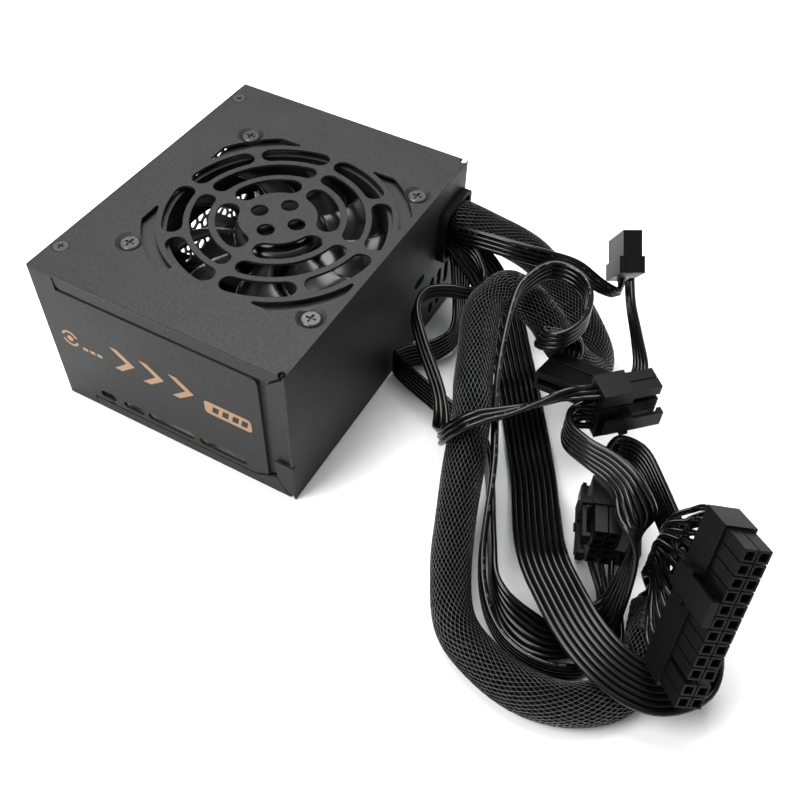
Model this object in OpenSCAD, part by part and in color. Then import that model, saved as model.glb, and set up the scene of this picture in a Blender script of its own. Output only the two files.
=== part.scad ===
// Compact computer power supply: folded steel case, top fan, mains inlet and switch,
// converter board, and a bundle of fixed output cables with their connectors.
// Millimetres. +X leaves through the cable panel, +Z is up, and the origin is on the
// underside, below the middle of the case.

/* [Case] */
// Depth from the mains panel to the cable panel
case_x = 100; // [100:0.5:102]
// Width of the case
case_y = 125; // [125:0.5:127]
// Height of the case
case_z = 63.5; // [63.5:0.5:65]
// Thickness of the steel sheet
sheet = 1; // [0.8:0.1:1]
// Radius of the four mounting holes in the mains panel
mount_hole_r = 1.45; // [1.3:0.05:1.6]

/* [Fan] */
// Side of the square fan frame
fan_size = 80; // [80:0.5:80.5]
// Thickness of the fan frame
fan_h = 15; // [14.5:0.5:15.5]
// Distance of the fan axis from the middle, towards the cable panel
fan_x = 7.5; // [6:0.5:8]
// Number of blades
blade_count = 9; // [7:1:11]
// Radius of the rotor's hub
hub_r = 16; // [15.8:0.1:16.4]

/* [Grille] */
// Number of screw holes in the middle disc
hub_holes = 4; // [3:1:6]
// Width of the bars between two slots of a ring
bar = 2.4; // [2:0.2:3]

/* [Connectors] */
// Distance between two terminals
pitch = 4.2; // [4.2:0.1:4.2]

/* [Hidden] */
$fn = 48;

black = "#242426";
steel_black = "#333335";
gap = 0.1;                       // between parts that slide past each other at assembly
hx = case_x / 2;
hy = case_y / 2;
mid_z = case_z / 2;

fan_y = -1;
fan_top = case_z - sheet - 1.1;  // room above the frame for the pressed screw seats
fan_base = fan_top - fan_h;
fan_hole = 35.75;                // half of the 71.5 spacing of an 80 mm fan
fan_bore_r = 38.3;
blade_tip_r = 37.5;

wall_recess = 1.05;              // how far the side walls step in behind the flanges
step_x = 39.5;                   // where the side wall steps in, on the cable side
step_z = 56.5;                   // and at the top

corner_screw_x = -46.4;
corner_screw_y = [-50, 53];

inlet_y = -39;
switch_y = -13;
inlet_w = 27.4;                  // body behind the panel
inlet_h = 20;
switch_w = 12.8;
switch_h = 19.4;

exit_y = 51;
exit_z = 41.4;
exit_w = 20;
exit_h = 21.4;

board_z = 6.5;
board_t = 1.6;
board_top = board_z + board_t;

// ---------- shared shapes ----------

module slot2d(a, b, r) {
    // A round-ended slot between two points.
    d = b - a;
    translate(a) circle(r);
    translate(b) circle(r);
    translate(a) rotate(atan2(d[1], d[0])) translate([0, -r]) square([norm(d), 2 * r]);
}

module round_rect(w, h, r) {
    translate([-w / 2 + r, -h / 2]) square([w - 2 * r, h]);
    translate([-w / 2, -h / 2 + r]) square([w, h - 2 * r]);
    for (x = [-1, 1], y = [-1, 1]) translate([x * (w / 2 - r), y * (h / 2 - r)]) circle(r);
}

module sector(r, from, to) {
    // A pie slice of up to 180 degrees, from one angle to the other.
    steps = max(2, ceil((to - from) / 30));
    polygon(concat([[0, 0]], [for (i = [0:steps]) let (a = from + (to - from) * i / steps)
        2 * r * [cos(a), sin(a)]]));
}

module arc_slot(r_in, r_out, from, to) {
    // A curved slot with round ends, as one outline. The angles are where its two ends reach.
    r_end = (r_out - r_in) / 2;
    r_mid = (r_out + r_in) / 2;
    inset = asin(r_end / r_mid);
    start = from + inset;
    sweep_angle = to - from - 2 * inset;
    steps = ceil(sweep_angle / 4);
    polygon(concat(
        [for (i = [0:steps]) let (a = start + sweep_angle * i / steps) r_out * [cos(a), sin(a)]],
        round_end(r_mid, r_end, start + sweep_angle, 0),
        [for (i = [steps:-1:0]) let (a = start + sweep_angle * i / steps) r_in * [cos(a), sin(a)]],
        round_end(r_mid, r_end, start, 180)
    ));
}

// The half circle that closes a curved slot at one angle.
function round_end(r_mid, r_end, angle, turn) = [for (k = [22.5:22.5:157.5])
    r_mid * [cos(angle), sin(angle)] + r_end * [cos(angle + turn + k), sin(angle + turn + k)]];

module panel_yz(x, t) {
    // Draws a 2D shape, given as (y, z), as a sheet of thickness t from x towards +X.
    translate([x, 0, 0]) rotate([90, 0, 90]) linear_extrude(t) children();
}

module wall_xz(y, t) {
    // Draws a 2D shape, given as (x, z), as a sheet of thickness t from y towards +Y.
    translate([0, y + t, 0]) rotate([90, 0, 0]) linear_extrude(t) children();
}

module cross_recess(size, depth) {
    // Phillips recess, cut downwards from the origin.
    for (a = [0, 90]) rotate(a)
        translate([-size / 2, -size / 9, -depth]) cube([size, size / 4.5, depth + 1]);
}

// ---------- outer shell: top, cable panel and bottom in one folded sheet ----------

module grille2d() {
    rings = [[13.8, 21.6, 4], [24, 30.4, 4], [32.6, 39.8, 8]];
    for (ring = rings, i = [0:ring[2] - 1]) {
        span = 360 / ring[2];
        half_bar = asin(bar / 2 / ring[0]);
        arc_slot(ring[0], ring[1], i * span + half_bar, (i + 1) * span - half_bar);
    }
    // The outermost slots fill the corners of a square and end square to it.
    for (i = [0:3]) intersection() {
        difference() { circle(46.6, $fn = 96); circle(42, $fn = 96); }
        square(2 * 39.9, center = true);
        sector(46.6, i * 90 + 22, i * 90 + 68);
    }
    for (i = [0:hub_holes - 1]) rotate(i * 360 / hub_holes) translate([7.6, 0]) circle(3.1);
}

module top_flange2d() {
    polygon([
        [-39.8, 63], [-39.8, 59.6], [-39.1, 58.2], [-37.6, 57.4], [43, 57.4], [48.2, 62.2], [48.2, 63]
    ]);
}

module upper_tab2d() {
    polygon([
        [50, 61.6], [48.4, 61.4], [43.4, 57], [43, 56.4],
        [43, 42], [43.8, 40.4], [45.4, 39.6], [50, 39.6]
    ]);
}

module lower_tab2d() {
    polygon([[50, 17.4], [43, 17.4], [43, 8.2], [47.7, 0.6], [50, 0.6]]);
}

module bottom_flange2d() {
    polygon([[-36.8, 0.5], [-36.8, 4.2], [34, 4.2], [42.6, 8.2], [47.2, 0.5]]);
}

module shell_flanges(side) {
    // side is -1 or 1: the flanges that fold down over that side wall.
    y = side < 0 ? -hy + 0.3 : hy - 0.3 - sheet;
    wall_xz(y, sheet) top_flange2d();
    wall_xz(side < 0 ? -hy : hy - sheet, sheet) {
        upper_tab2d();
        lower_tab2d();
        bottom_flange2d();
    }
}

module screw_seat(z) {
    // The pressed seat under a fan screw.
    translate([0, 0, z]) cylinder(r1 = 4.2, r2 = 5.6, h = 1);
}

module outer_shell() color(steel_black) difference() {
    union() {
        translate([-hx, -hy, case_z - sheet]) cube([case_x, case_y, sheet]);
        translate([hx - sheet, -hy, 0]) cube([sheet, case_y, case_z]);
        translate([-hx, -hy, 0]) cube([case_x, case_y, sheet]);
        for (side = [-1, 1]) shell_flanges(side);
        for (x = [-1, 1], y = [-1, 1])
            translate([fan_x + x * fan_hole, fan_y + y * fan_hole, 0]) screw_seat(case_z - sheet - 1);
    }
    translate([fan_x, fan_y, case_z - sheet - 2]) linear_extrude(sheet + 4) grille2d();
    // Stepped and sloping seats for the screws.
    for (x = [-1, 1], y = [-1, 1])
        translate([fan_x + x * fan_hole, fan_y + y * fan_hole, case_z]) rotate_extrude()
            polygon([[0, -4], [2.2, -4], [2.2, -1.4], [3.6, -1.4], [3.6, -1], [5, 0], [5, 1], [0, 1]]);
    for (y = corner_screw_y) translate([corner_screw_x, y, case_z]) rotate_extrude()
        polygon([[0, -2], [1.7, -2], [1.7, -0.9], [1.9, -0.9], [3, 0], [3, 1], [0, 1]]);
    // Relief holes where the folds meet.
    for (y = [-1, 1], z = [0, case_z])
        translate([hx - 1.4, y * (hy - 1), z - 1.6]) cylinder(r = 1.3, h = 3.2);
    for (y = [-1, 1]) translate([hx - 1.5, y * hy - 1.5, 17.4]) cube([1.6, 3, 1.4]);
    panel_yz(hx - sheet - 1, sheet + 2) {
        translate([exit_y, exit_z]) round_rect(exit_w, exit_h, 3);
        slot2d([24.9, 30.8], [28.8, 30.8], 1.9);
        for (y = [38, 44.3, 50.6]) {
            slot2d([y, 7.3], [y, 8.7], 1.8);
            slot2d([y, 14.3], [y, 22.2], 1.8);
        }
    }
}

// ---------- inner shell: mains panel and both side walls ----------

module main_wall2d() {
    // The part of a side wall that lies flush with the flanges.
    difference() {
        polygon([
            [-hx, 1.1], [-37.2, 1.1], [-37.2, 5], [-30.5, 5], [-29.6, 5.7], [-28, 5.7], [-27, 5], [34, 5],
            [step_x, 8.2], [step_x, step_z - 2], [step_x - 0.6, step_z - 0.6], [step_x - 2, step_z],
            [-40.3, step_z], [-40.3, case_z - sheet - gap], [-hx, case_z - sheet - gap]
        ]);
        slot2d([-31.7, 8.5], [-28.5, 8.4], 1.8);
        slot2d([-21.2, 8.4], [-15.6, 8.4], 1.8);
        slot2d([-10.2, 8.4], [6.6, 8.4], 1.8);
        slot2d([12.5, 8.4], [28.7, 8.4], 1.8);
    }
}

module recessed_wall2d() {
    // The stepped-in margin behind the flanges, with a rim that overlaps the main wall.
    polygon([
        [-39.5, step_z - 1.2], [step_x - 1.2, step_z - 1.2], [step_x - 1.2, 6.4], [43, 8.8],
        [48.6, 8.8], [48.6, case_z - sheet - gap], [-39.5, case_z - sheet - gap]
    ]);
}

module step_rim2d() {
    polygon([
        [-40.3, step_z - 1.2], [step_x - 1.2, step_z - 1.2], [step_x - 1.2, 6.6], [step_x, 8.2],
        [step_x, step_z - 2], [step_x - 0.6, step_z - 0.6], [step_x - 2, step_z], [-40.3, step_z]
    ]);
}

module side_wall(side) {
    outer = side < 0 ? -hy : hy - sheet;
    inner = side < 0 ? -hy + wall_recess + 0.3 : hy - sheet - wall_recess - 0.3;
    wall_xz(outer, sheet) main_wall2d();
    wall_xz(inner, sheet) recessed_wall2d();
    wall_xz(side < 0 ? -hy : inner, sheet + wall_recess + 0.3) step_rim2d();
    // Turned-in end that joins the upper left of the wall to its stepped margin.
    wall_xz(side < 0 ? -hy : inner, sheet + wall_recess + 0.3)
        polygon([
            [-40.9, step_z - 1], [-39.9, step_z - 1],
            [-39.9, case_z - sheet - gap], [-40.9, case_z - sheet - gap]
        ]);
}

module honeycomb2d() {
    across = 4.1;
    step = 4.9;
    for (row = [0:9], col = [0:9]) {
        y = 6 + col * step + (row % 2) * step / 2;
        z = 11 + row * step * 0.866;
        if (y < 54) translate([y, z]) rotate(30) circle(across / 2 / cos(30), $fn = 6);
    }
}

module mains_panel2d() {
    difference() {
        translate([-hy, sheet + gap]) square([case_y, case_z - 2 * sheet - 2 * gap]);
        translate([inlet_y, mid_z]) square([inlet_w + 0.3, inlet_h + 0.3], center = true);
        translate([switch_y, mid_z]) square([switch_w + 0.3, switch_h + 0.3], center = true);
        honeycomb2d();
    }
}

module inner_shell() color(steel_black) difference() {
    union() {
        panel_yz(-hx, sheet) mains_panel2d();
        for (side = [-1, 1]) side_wall(side);
        // Turned-in lip that takes the two cover screws.
        translate([-hx, -57, case_z - 2 * sheet - gap]) cube([8.5, 114, sheet]);
        for (y = [-1, 1], z = [-1, 1]) translate([-hx, y * 56.5, mid_z + z * 25.75])
            rotate([0, 90, 0]) cylinder(r = 2.7, h = 2.6);
        for (y = corner_screw_y)
            translate([corner_screw_x, y, case_z - 2 * sheet - gap - 1.4]) cylinder(r = 2.6, h = 1.8);
    }
    for (y = [-1, 1], z = [-1, 1]) translate([-hx - 1, y * 56.5, mid_z + z * 25.75])
        rotate([0, 90, 0]) cylinder(r = mount_hole_r, h = 6);
    for (y = corner_screw_y) translate([corner_screw_x, y, case_z - 6]) cylinder(r = 1.45, h = 6);
}

// ---------- screws ----------

module corner_screws() color("#1c1c1e") for (y = corner_screw_y)
    translate([corner_screw_x, y, case_z - 0.1]) difference() {
    union() {
        translate([0, 0, -0.72]) cylinder(r1 = 1.85, r2 = 2.65, h = 0.72);
        translate([0, 0, -5]) cylinder(r = 1.4, h = 4.5);
    }
    cross_recess(2.6, 0.6);
}

module fan_screws() color("#1c1c1e") for (x = [-1, 1], y = [-1, 1])
    translate([fan_x + x * fan_hole, fan_y + y * fan_hole, case_z - 0.35]) difference() {
        union() {
            translate([0, 0, -0.95]) cylinder(r1 = 3.3, r2 = 3.4, h = 0.6);
            translate([0, 0, -0.36]) cylinder(r1 = 3.4, r2 = 3, h = 0.36);
            translate([0, 0, -10]) cylinder(r = 2, h = 9.2);
        }
        cross_recess(3.6, 0.7);
    }

// ---------- cable bushing in the cable panel ----------

module cable_bushing() color("#151516") translate([0, exit_y, exit_z]) difference() {
    union() {
        panel_yz(hx + 0.05, 3) round_rect(exit_w + 2.4, exit_h + 2.4, 4);
        panel_yz(hx - sheet - 0.1, sheet + 0.3) round_rect(exit_w - 0.1, exit_h - 0.1, 2.95);
        // The snap rim behind the panel stops short of the side wall.
        panel_yz(hx - sheet - 1.2, 1.2) intersection() {
            round_rect(exit_w + 1.4, exit_h + 1.4, 3.6);
            translate([-20, -20]) square([28.9, 40]);
        }
    }
    panel_yz(hx - sheet - 3, sheet + 8) round_rect(exit_w - 1.2, exit_h - 1.2, 2.4);
}

// ---------- fan ----------

module at_fan() translate([fan_x, fan_y, fan_base]) children();

module fan_outline2d() difference() {
    round_rect(fan_size, fan_size, 4.5);
    circle(fan_bore_r, $fn = 96);
    for (x = [-1, 1], y = [-1, 1]) translate([x * fan_hole, y * fan_hole]) circle(2.15);
}

module fan_frame() color("#1d1d1f") at_fan() {
    difference() {
        union() {
            linear_extrude(3.2) fan_outline2d();
            translate([0, 0, fan_h - 3.2]) linear_extrude(3.2) fan_outline2d();
            linear_extrude(fan_h) difference() {
                intersection() { circle(fan_bore_r + 1.6, $fn = 96); square(fan_size, center = true); }
                circle(fan_bore_r, $fn = 96);
            }
            for (x = [-1, 1], y = [-1, 1]) translate([x * fan_hole, y * fan_hole, 0]) difference() {
                cylinder(r = 3.6, h = fan_h);
                translate([0, 0, -1]) cylinder(r = 2.15, h = fan_h + 2);
            }
        }
        translate([0, 0, -1]) cylinder(r = fan_bore_r, h = fan_h + 2, $fn = 96);
    }
    // Motor base, its bearing tube and the four struts under the rotor.
    difference() {
        cylinder(r = 16.5, h = 1.4);
        translate([0, 0, -1]) cylinder(r = 2.95, h = 4);
    }
    difference() {
        cylinder(r = 4, h = 9.6);
        translate([0, 0, -1]) cylinder(r = 2.95, h = 12);
    }
    for (a = [45:90:315]) rotate(a) translate([16.2, -1.3, 0]) cube([fan_bore_r - 15.8, 2.6, 2.2]);
}

module fan_rotor() color("#1b1b1d") at_fan() {
    rotate_extrude($fn = 96) polygon(concat(
        [[0, 13.6]], [for (a = [90:-15:0]) [hub_r - 2.2 + 2.2 * cos(a), 11.4 + 2.2 * sin(a)]],
        [[hub_r, 2.6], [hub_r - 1.3, 2.6], [hub_r - 1.3, 12], [3, 12],
         [3, 10.4], [1.55, 10.4], [1.55, 12.4], [0, 12.4]]
    ));
    for (i = [0:blade_count - 1]) rotate(i * 360 / blade_count) leaning_blade();
}

module leaning_blade() {
    // A pitched plate across the gap between hub and frame, with curved ends.
    intersection() {
        difference() {
            translate([0, 0, 3.6]) cylinder(r = blade_tip_r, h = 9, $fn = 96);
            translate([0, 0, 3]) cylinder(r = hub_r - 0.3, h = 11, $fn = 96);
        }
        translate([hub_r - 1, 0, 8.1]) rotate([-30, 0, 0]) translate([0, -9, -0.6]) cube([24, 18, 1.2]);
        translate([12, -18, 3]) cube([30, 36, 11]);
    }
}

module fan_magnet() color("#3a3a3c") at_fan() difference() {
    translate([0, 0, 3.2]) cylinder(r = hub_r - 1.35, h = 8.2, $fn = 96);
    translate([0, 0, 3]) cylinder(r = hub_r - 2.9, h = 9, $fn = 96);
}

module fan_shaft() color("#b9bbbe") at_fan() translate([0, 0, 1.8]) cylinder(r = 1.5, h = 10.4);

module fan_bearing() color("#b08a4a") at_fan() difference() {
    translate([0, 0, 1]) cylinder(r = 2.9, h = 8.4);
    translate([0, 0, 0]) cylinder(r = 1.53, h = 11);
}

module fan_stator() color("#7a4a2a") at_fan() {
    difference() {
        translate([0, 0, 5.6]) cylinder(r = 6.2, h = 2.4);
        translate([0, 0, 5]) cylinder(r = 4.1, h = 4);
    }
    for (a = [0:90:270]) rotate(a) {
        translate([5.8, -1.6, 5.6]) cube([5, 3.2, 2.4]);
        intersection() {
            difference() {
                translate([0, 0, 4.6]) cylinder(r = 12.6, h = 4.4, $fn = 96);
                translate([0, 0, 4]) cylinder(r = 10.6, h = 6, $fn = 96);
            }
            translate([6, -8, 4]) cube([10, 16, 6]);
        }
        translate([6.8, -3.4, 4.2]) difference() {
            cube([3.6, 6.8, 5.2]);
            translate([-1, 1.75, 1.35]) cube([6, 3.3, 2.5]);
        }
    }
}

module fan_board() color("#1f5a32") at_fan() translate([0, 0, 1.5]) difference() {
    cylinder(r = 12.6, h = 1);
    translate([0, 0, -1]) cylinder(r = 4.1, h = 3);
}

// ---------- mains inlet and switch ----------

module inlet_cavity2d() {
    // The socket's outline, with its two cut corners at the top.
    polygon([[-12.2, -8.1], [12.2, -8.1], [12.2, 3.2], [7.4, 8.1], [-7.4, 8.1], [-12.2, 3.2]]);
}

module inlet_body() color(black) translate([0, inlet_y, mid_z]) difference() {
    union() {
        panel_yz(-hx - 3.05, 3) round_rect(31.4, 24.4, 2.5);
        panel_yz(-hx - 0.1, 19.2) square([inlet_w, inlet_h], center = true);
    }
    panel_yz(-hx - 4, 18.2) inlet_cavity2d();
    for (p = [[-7, -1.6], [7, -1.6], [0, 2.6]])
        translate([-hx + 17, p[0], p[1]]) cube([14, 1.3, 4.2], center = true);
}

// Each leg is (y, z, reach in front of the socket's floor).
inlet_legs = [[-7, -1.6, 10], [7, -1.6, 10], [0, 2.6, 11.2]];

module inlet_pins() color("#c9cbd0") translate([0, inlet_y, mid_z]) for (p = inlet_legs) {
    translate([-hx + 14.2 - p[2], p[0] - 1, p[1] - 2]) cube([p[2], 2, 4]);
    translate([-hx + 14, p[0] - 0.6, p[1] - 2.05]) cube([11, 1.2, 4.1]);
}

switch_axis_x = -hx + 1.2;       // the rocker's pivot line, inside the bezel

module switch_housing() color(black) translate([0, switch_y, mid_z]) {
    difference() {
        union() {
            panel_yz(-hx - 1.85, 1.8) round_rect(15, 21.4, 1.5);
            panel_yz(-hx - 0.1, 15) square([switch_w, switch_h], center = true);
        }
        panel_yz(-hx - 3, 12.2) square([switch_w - 2.4, switch_h - 2.8], center = true);
    }
    for (y = [-1, 1]) translate([switch_axis_x, y * (switch_w / 2 - 1.9), 0])
        rotate([90, 0, 0]) cylinder(r = 1.1, h = 1.5, center = true);
    for (z = [-6, 0, 6]) translate([-hx + 14.8, -2.4, z - 0.4]) cube([8, 4.8, 0.8]);
}

// The rocker is stored with its lower end pressed in; it turns about switch_axis_x.
rocker_rest = 9;

module switch_rocker() color("#1a1a1b")
    translate([switch_axis_x, switch_y, mid_z]) rotate([0, rocker_rest, 0]) difference() {
        rotate([90, 0, 0]) linear_extrude(switch_w - 3, center = true) intersection() {
            translate([1.4, 0]) circle(8.2, $fn = 96);
            polygon([[-3, 7.9], [2.6, 7.4], [2.6, -7.4], [-3, -7.9], [-1.9, 0]]);
        }
        for (y = [-1, 1]) translate([0, y * (switch_w / 2 - 1.5), 0])
            rotate([90, 0, 0]) cylinder(r = 1.15, h = 2.7, center = true);
    }

// ---------- converter board and what stands on it ----------

module board_holes2d() for (x = [-42, 42], y = [-54, 54]) translate([x, y]) children();

module main_board() color("#3c4a26") translate([0, 0, board_z]) linear_extrude(board_t) difference() {
    translate([-47, -58.5]) square([94, 117]);
    board_holes2d() circle(1.7);
}

module board_pillars() color("#b8b8ba") board_holes2d() difference() {
    translate([0, 0, sheet]) cylinder(r = 3, h = board_z - sheet);
    translate([0, 0, sheet + 1]) cylinder(r = 1.45, h = board_z);
}

module board_screws() color("#b8b8ba") board_holes2d() translate([0, 0, board_top]) difference() {
    union() {
        cylinder(r1 = 3, r2 = 2.4, h = 1.8);
        translate([0, 0, -5]) cylinder(r = 1.4, h = 5.1);
    }
    translate([0, 0, 1.8]) cross_recess(3, 1);
}

module insulating_sheet() color("#d8d2c0")
    translate([0, 0, sheet + 0.05]) linear_extrude(0.4) difference() {
        translate([-47.5, -59]) square([95, 118]);
        board_holes2d() circle(3.2);
    }

module at_board(x, y, a = 0) translate([x, y, board_top]) rotate(a) children();

module can(r, h) {
    // Aluminium can in its sleeve, with the rolled groove near its foot.
    rotate_extrude() polygon([
        [0, 0], [r - 0.6, 0], [r, 0.6], [r, 2.2], [r - 0.6, 2.8], [r, 3.4],
        [r, h - 0.8], [r - 0.8, h], [r - 1.6, h], [r - 1.6, h - 0.3], [0, h - 0.3]
    ]);
}

module toroid(r, tube, h) {
    rotate_extrude() translate([r, h]) circle(tube);
}

module bulk_capacitor() color("#22304f") at_board(-16, 41) can(14.5, 35);

module boost_inductor() color("#8c5a24") at_board(-23.4, 7.6) {
    translate([-12, -14, 0]) cube([24, 28, 3]);
    translate([-9, -11, 3]) cube([18, 22, 12]);
    translate([-12, -14, 15]) cube([24, 28, 3]);
}

module main_transformer() color("#c9a93a") at_board(14, -10) {
    translate([-15, -17, 0]) cube([30, 34, 3]);
    translate([-11, -13, 3]) cube([22, 26, 24]);
    for (y = [-17, 13]) translate([-9, y, 3]) cube([18, 4, 24]);
    translate([-9, -17, 27]) cube([18, 34, 4]);
}

module standby_transformer() color("#c9a93a") at_board(-8, -37) {
    translate([-9, -8, 0]) cube([18, 16, 15]);
    translate([-7, -9.5, 4]) cube([14, 1.5, 8]);
    translate([-7, 8, 4]) cube([14, 1.5, 8]);
}

module fin_plate(length, height, fins) {
    cube([length, 2.2, height]);
    for (i = [0:fins - 1])
        translate([2 + i * (length - 6) / (fins - 1), 2.2, 6]) cube([1.4, 6, height - 6]);
}

module primary_heatsink() color("#9da0a4") at_board(6, 14) fin_plate(36, 33, 7);

module secondary_heatsink() color("#9da0a4") at_board(34, 8, -90) fin_plate(38, 33, 8);

module power_transistors() color("#202022") {
    for (x = [9, 22]) at_board(x, 9) {
        translate([0, 0, 6]) cube([10.2, 4.9, 16]);
        for (k = [1.6, 4.4, 7.2]) translate([k, 2, 0]) cube([1.2, 0.8, 6]);
    }
    for (y = [-8, -24]) at_board(29.2, y) {
        translate([0, 0, 6]) cube([4.7, 10.2, 16]);
        for (k = [1.6, 4.4, 7.2]) translate([2, k, 0]) cube([0.8, 1.2, 6]);
    }
}

module bridge_rectifier() color("#1d1d1f") at_board(-34, 22) {
    translate([-12, 0, 3]) cube([22, 4.6, 15]);
    for (k = [-10, -4.5, 1, 6.5]) translate([k, 1.8, 0]) cube([1.2, 1, 3]);
}

module filter_choke() color("#a35a22") at_board(-29, -22) {
    toroid(7.5, 4.2, 5.2);
    translate([-12, -1, 0]) cube([24, 2, 0.9]);
}

module filter_capacitor() color("#d9b62c") at_board(-26, -50.8)
    translate([-12, -4, 0]) cube([24, 8, 12]);

module output_inductor() color("#b8742a") at_board(28, -44) {
    toroid(9, 5, 5.8);
    translate([-13, -1.2, 0]) cube([26, 2.4, 0.8]);
}

module output_capacitors() color("#1f2024")
    for (p = [[25, 34], [13, 37], [38, 32], [6, -50]]) at_board(p[0], p[1]) can(5, 20);

module control_board() color("#2c5c34") at_board(-3, 26) {
    cube([26, 1.2, 22]);
    translate([4, 1.2, 6]) cube([9, 1.5, 5]);
    translate([15, 1.2, 9]) cube([7, 1.4, 5]);
}

module fuse() color("#c4b08a") at_board(-43.6, -34, 90) {
    translate([-9, 0, 3]) rotate([0, 90, 0]) cylinder(r = 2.6, h = 18);
    for (x = [-8.4, 6.8]) translate([x, -2.6, 0]) cube([1.6, 5.2, 0.45]);
}

// ---------- leads inside the case ----------

function catmull(p0, p1, p2, p3, t) =
    0.5 * ((2 * p1) + (p2 - p0) * t + (2 * p0 - 5 * p1 + 4 * p2 - p3) * t * t
    + (3 * p1 - p0 - 3 * p2 + p3) * t * t * t);

function smooth_route(route, steps) = let (n = len(route)) concat(
    [for (i = [0:n - 2], k = [0:steps - 1])
        catmull(route[max(i - 1, 0)], route[i], route[i + 1], route[min(i + 2, n - 1)], k / steps)],
    [route[n - 1]]
);

function unit(v) = v / norm(v);

function tangent(line, i) = unit(line[min(i + 1, len(line) - 1)] - line[max(i - 1, 0)]);

module sweep(rings) {
    // Closes equal rings of points, in order, into one solid.
    n = len(rings[0]);
    last = len(rings) - 1;
    points = [for (ring = rings, p = ring) p];
    faces = concat(
        [[for (k = [0:n - 1]) k]],
        [for (i = [0:last - 1], k = [0:n - 1])
            let (a = i * n + k, b = i * n + (k + 1) % n) [a, a + n, b]],
        [for (i = [0:last - 1], k = [0:n - 1])
            let (a = i * n + k, b = i * n + (k + 1) % n) [b, a + n, b + n]],
        [[for (k = [n - 1:-1:0]) last * n + k]]
    );
    polyhedron(points, faces, convexity = 10);
}

function round_ring(c, t, r, sides) = let (
    side = unit(cross(abs(t[2]) > 0.9 ? [1, 0, 0] : [0, 0, 1], t)),
    up = cross(t, side)
) [for (k = [0:sides - 1]) let (a = 360 * k / sides) c + r * (cos(a) * side + sin(a) * up)];

module round_cable(route, r, steps = 4, sides = 10) {
    line = smooth_route(route, steps);
    sweep([for (i = [0:len(line) - 1]) round_ring(line[i], tangent(line, i), r, sides)]);
}

module fan_lead() color("#1b1b1c") round_cable([
    [-31, 20, fan_base - 1], [-35, 24, 39], [-41, 33, 28], [-43, 39, 16], [-43, 39, board_top + 0.3]
], 0.9, 3, 8);

module mains_leads() color("#5a3f2a") {
    for (p = [[-46, 30.15, -42.6], [-32, 30.15, -36], [-39, 34.3, -39.3]]) round_cable([
        [-24.8, p[0], p[1]], [-21, p[0] * 0.9 + p[2] * 0.1, p[1] - 0.8],
        [-19.6, p[2], 22], [-19.6, p[2], board_top + 0.3]
    ], 1, 3, 8);
}

module output_leads() color("#19191a") round_cable([
    [33, 49, board_top + 0.6], [33, 49, 18], [34.5, 49.6, 28], [39.5, 50.8, 38.5], [46, 51, 41]
], 4.4, 3, 12);

// ---------- output cables ----------
// Each route is [place] for a round cable, and [place, direction across] for a flat one.
// A flat cable is a row of fused wires, so its width follows from the number of wires.

wire_d = 2.1;                    // one insulated wire
sleeve_r = 6.6;                  // braided sleeve over 24 wires

atx_route = [
    [47.5, 53.4, 44.2], [56, 53.9, 43.8], [78, 62, 33], [92, 62, 24], [106, 56, 16],
    [117, 46, 11], [120, 36, 11], [115, 29, 19], [107, 27.5, 28], [98, 29, 36],
    [85, 31, 40], [81, 25, 39], [80.6, 15, 38.5], [89.6, -9.6, 36], [95.4, -22.6, 32],
    [105, -50.6, 16], [111.6, -67, 9], [120.5, -81, 6.8], [134, -88, 6.6], [148, -90, 6.6],
    [161, -87, 6.6], [171, -79, 6.6], [175, -68, 6.6], [174, -56, 7], [172, -46, 9]
];

cpu_route = [
    [[47.5, 51, 36.5], [0, 1, 0]], [[54, 51, 35.9], [0, 1, 0]], [[60, 50.3, 31.5], [0.2, 1, 0]],
    [[68, 48.5, 26], [0.4, 0.9, 0]],
    [[79, 42, 17], [0.6, 0.8, 0]], [[89, 31, 8], [0.7, 0.7, 0]], [[99, 18, 2.5], [0.8, 0.6, 0]],
    [[118, -14, 4], [0.9, 0.4, 0]], [[133, -46, 13.5], [0.8, 0.6, 0]],
    [[145, -60, 15.5], [0.7, 0.7, 0]], [[158, -70, 15.5], [0.6, 0.8, 0]],
    [[171, -75, 14.8], [0.3, 0.9, 0]], [[181, -74, 14.2], [-0.1, 1, 0]],
    [[189, -66, 12.5], [-0.7, 0.6, -0.3]], [[189, -54, 11.5], [-0.5, 0, -0.8]],
    [[183, -43, 11], [0, 0, -1]], [[177, -32, 15], [0, 0, -1]], [[159, -14, 22], [0, 0, -1]],
    [[150, -7, 24.5], [0, 0, -1]], [[142, -8, 25.5], [0, 0, -1]],
    [[140.6, -16.9, 27], [0, 0, -1]], [[144.3, -26.7, 27], [0, 0, -1]]
];

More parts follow.
